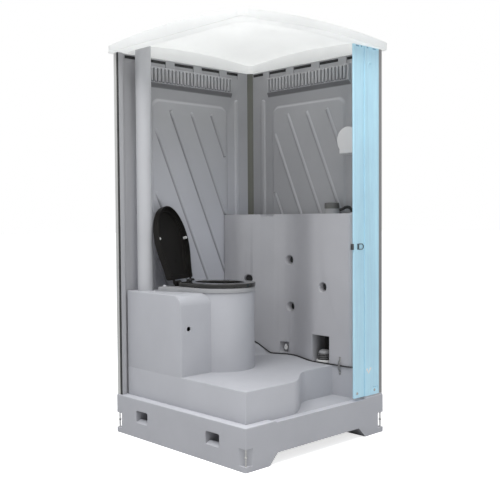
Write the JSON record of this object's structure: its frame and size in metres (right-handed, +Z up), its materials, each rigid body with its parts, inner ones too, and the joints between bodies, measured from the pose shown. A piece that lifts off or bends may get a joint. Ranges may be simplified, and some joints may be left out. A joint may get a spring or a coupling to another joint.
{
  "type": "portable flush toilet",
  "caption": "Portable flush toilet cabin shown open, with a moulded base, waste tank with step and pedestal, flush-water tank, foot pump, vent pipe, seat and raised lid.",
  "frame": {"origin": "centre of the base's underside, on the ground", "axes": "+Z up; the doorway faces -Y; the flush-water tank is on the +X side"},
  "size_m": [1.1554, 1.1554, 2.3264],
  "materials": {
    "grey_plastic": "moulded light grey polyethylene, fine satin grain",
    "wall_plastic": "mid grey polyethylene sheet, satin",
    "post_metal": "grey anodised extrusion, satin",
    "pale_plastic": "pale grey plastic, satin",
    "black_plastic": "glossy black plastic",
    "black_rubber": "matt black rubber",
    "white_plastic": "white plastic, satin",
    "blue_plastic": "light blue plastic, satin",
    "steel": "plain zinc-plated steel",
    "paper": "soft white tissue",
    "roof_plastic": "milky white translucent moulding"
  },
  "bodies": {
    "cabin": {"base_skid": "grey_plastic", "waste_tank": "grey_plastic", "bowl_deck": "pale_plastic", "toilet_bowl": "pale_plastic", "flap_pin": "pale_plastic", "hinge_bracket_left": "black_plastic", "hinge_bracket_right": "black_plastic", "hinge_pin_left": "black_plastic", "hinge_pin_right": "black_plastic", "deck_bolt_cap_left": "pale_plastic", "deck_bolt_cap_right": "pale_plastic", "vent_pipe": "pale_plastic", "fresh_water_tank": "grey_plastic", "filler_neck": "grey_plastic", "overflow_hose": "black_rubber", "overflow_grommet": "grey_plastic", "pump_base": "white_plastic", "pump_bellows": "black_rubber", "drain_valve": "steel", "flush_hose": "black_rubber", "hose_fitting_bowl": "black_plastic", "hose_fitting_tank": "black_plastic", "hose_strap": "steel", "strap_screw_lower": "steel", "strap_screw_upper": "steel", "rear_wall": "wall_plastic", "side_wall": "wall_plastic", "post_rear_left": "post_metal", "post_rear_right": "post_metal", "post_front_right": "post_metal", "door_jamb": "blue_plastic", "lock_keeper": "steel", "jamb_bolt_1": "steel", "jamb_bolt_2": "steel", "dispenser_base": "pale_plastic", "roll_spindle": "steel", "roof": "roof_plastic", "lashing_pin_front_left": "steel", "lashing_pin_front_right": "steel", "lashing_pin_rear_left": "steel", "lashing_pin_rear_right": "steel"},
    "lid": {"toilet_lid": "black_plastic", "lid_bumper_left": "white_plastic", "lid_bumper_right": "white_plastic"},
    "seat": {"seat_ring": "black_plastic", "seat_bumper_1": "black_rubber", "seat_bumper_2": "black_rubber", "seat_bumper_3": "black_rubber", "seat_bumper_4": "black_rubber"},
    "flap": {"bowl_flap": "black_plastic"},
    "pump": {"pump_cap": "grey_plastic"},
    "knob": {"drain_knob": "white_plastic"},
    "filler": {"filler_cap": "black_plastic"},
    "cover": {"dispenser_cover": "pale_plastic"},
    "roll": {"paper_roll": "paper"}
  },
  "joints": [
    {"name": "lid_hinge", "type": "hinge", "parent": "cabin", "child": "lid", "pos_m": [-0.21415, 0.32809, 0.8728], "axis": [-0.9272, -0.3746, 0], "range_deg": [-103, 0]},
    {"name": "seat_hinge", "type": "hinge", "parent": "cabin", "child": "seat", "pos_m": [-0.21415, 0.32809, 0.8728], "axis": [-0.9272, -0.3746, 0], "range_deg": [0, 100]},
    {"name": "flap_hinge", "type": "hinge", "parent": "cabin", "child": "flap", "pos_m": [-0.14822, 0.1649, 0.589], "axis": [0.9272, 0.3746, 0], "range_deg": [0, 70], "stiffness_Nm_per_rad": 0.1, "springref_deg": -45.84},
    {"name": "pump_press", "type": "slide", "parent": "cabin", "child": "pump", "axis": [0, 0, 1], "range_m": [-0.026, 0], "stiffness_N_per_m": 1000, "springref_m": 0.003, "deforming": ["pump_bellows"]},
    {"name": "drain_turn", "type": "hinge", "parent": "cabin", "child": "knob", "pos_m": [0.44576, 0.12329, 0.42725], "axis": [1, 0, 0], "range_deg": [0, 90]},
    {"name": "cap_turn", "type": "hinge", "parent": "cabin", "child": "filler", "pos_m": [0.43, -0.267, 1.3], "axis": [0, 0, 1], "range_deg": [0, 90]},
    {"name": "cover_hinge", "type": "hinge", "parent": "cabin", "child": "cover", "pos_m": [0.41, -0.412, 1.612], "axis": [0, -1, 0], "range_deg": [0, 90]},
    {"name": "roll_spin", "type": "hinge", "parent": "cabin", "child": "roll", "pos_m": [0.46, -0.412, 1.6878], "axis": [1, 0, 0], "continuous": true}
  ]
}
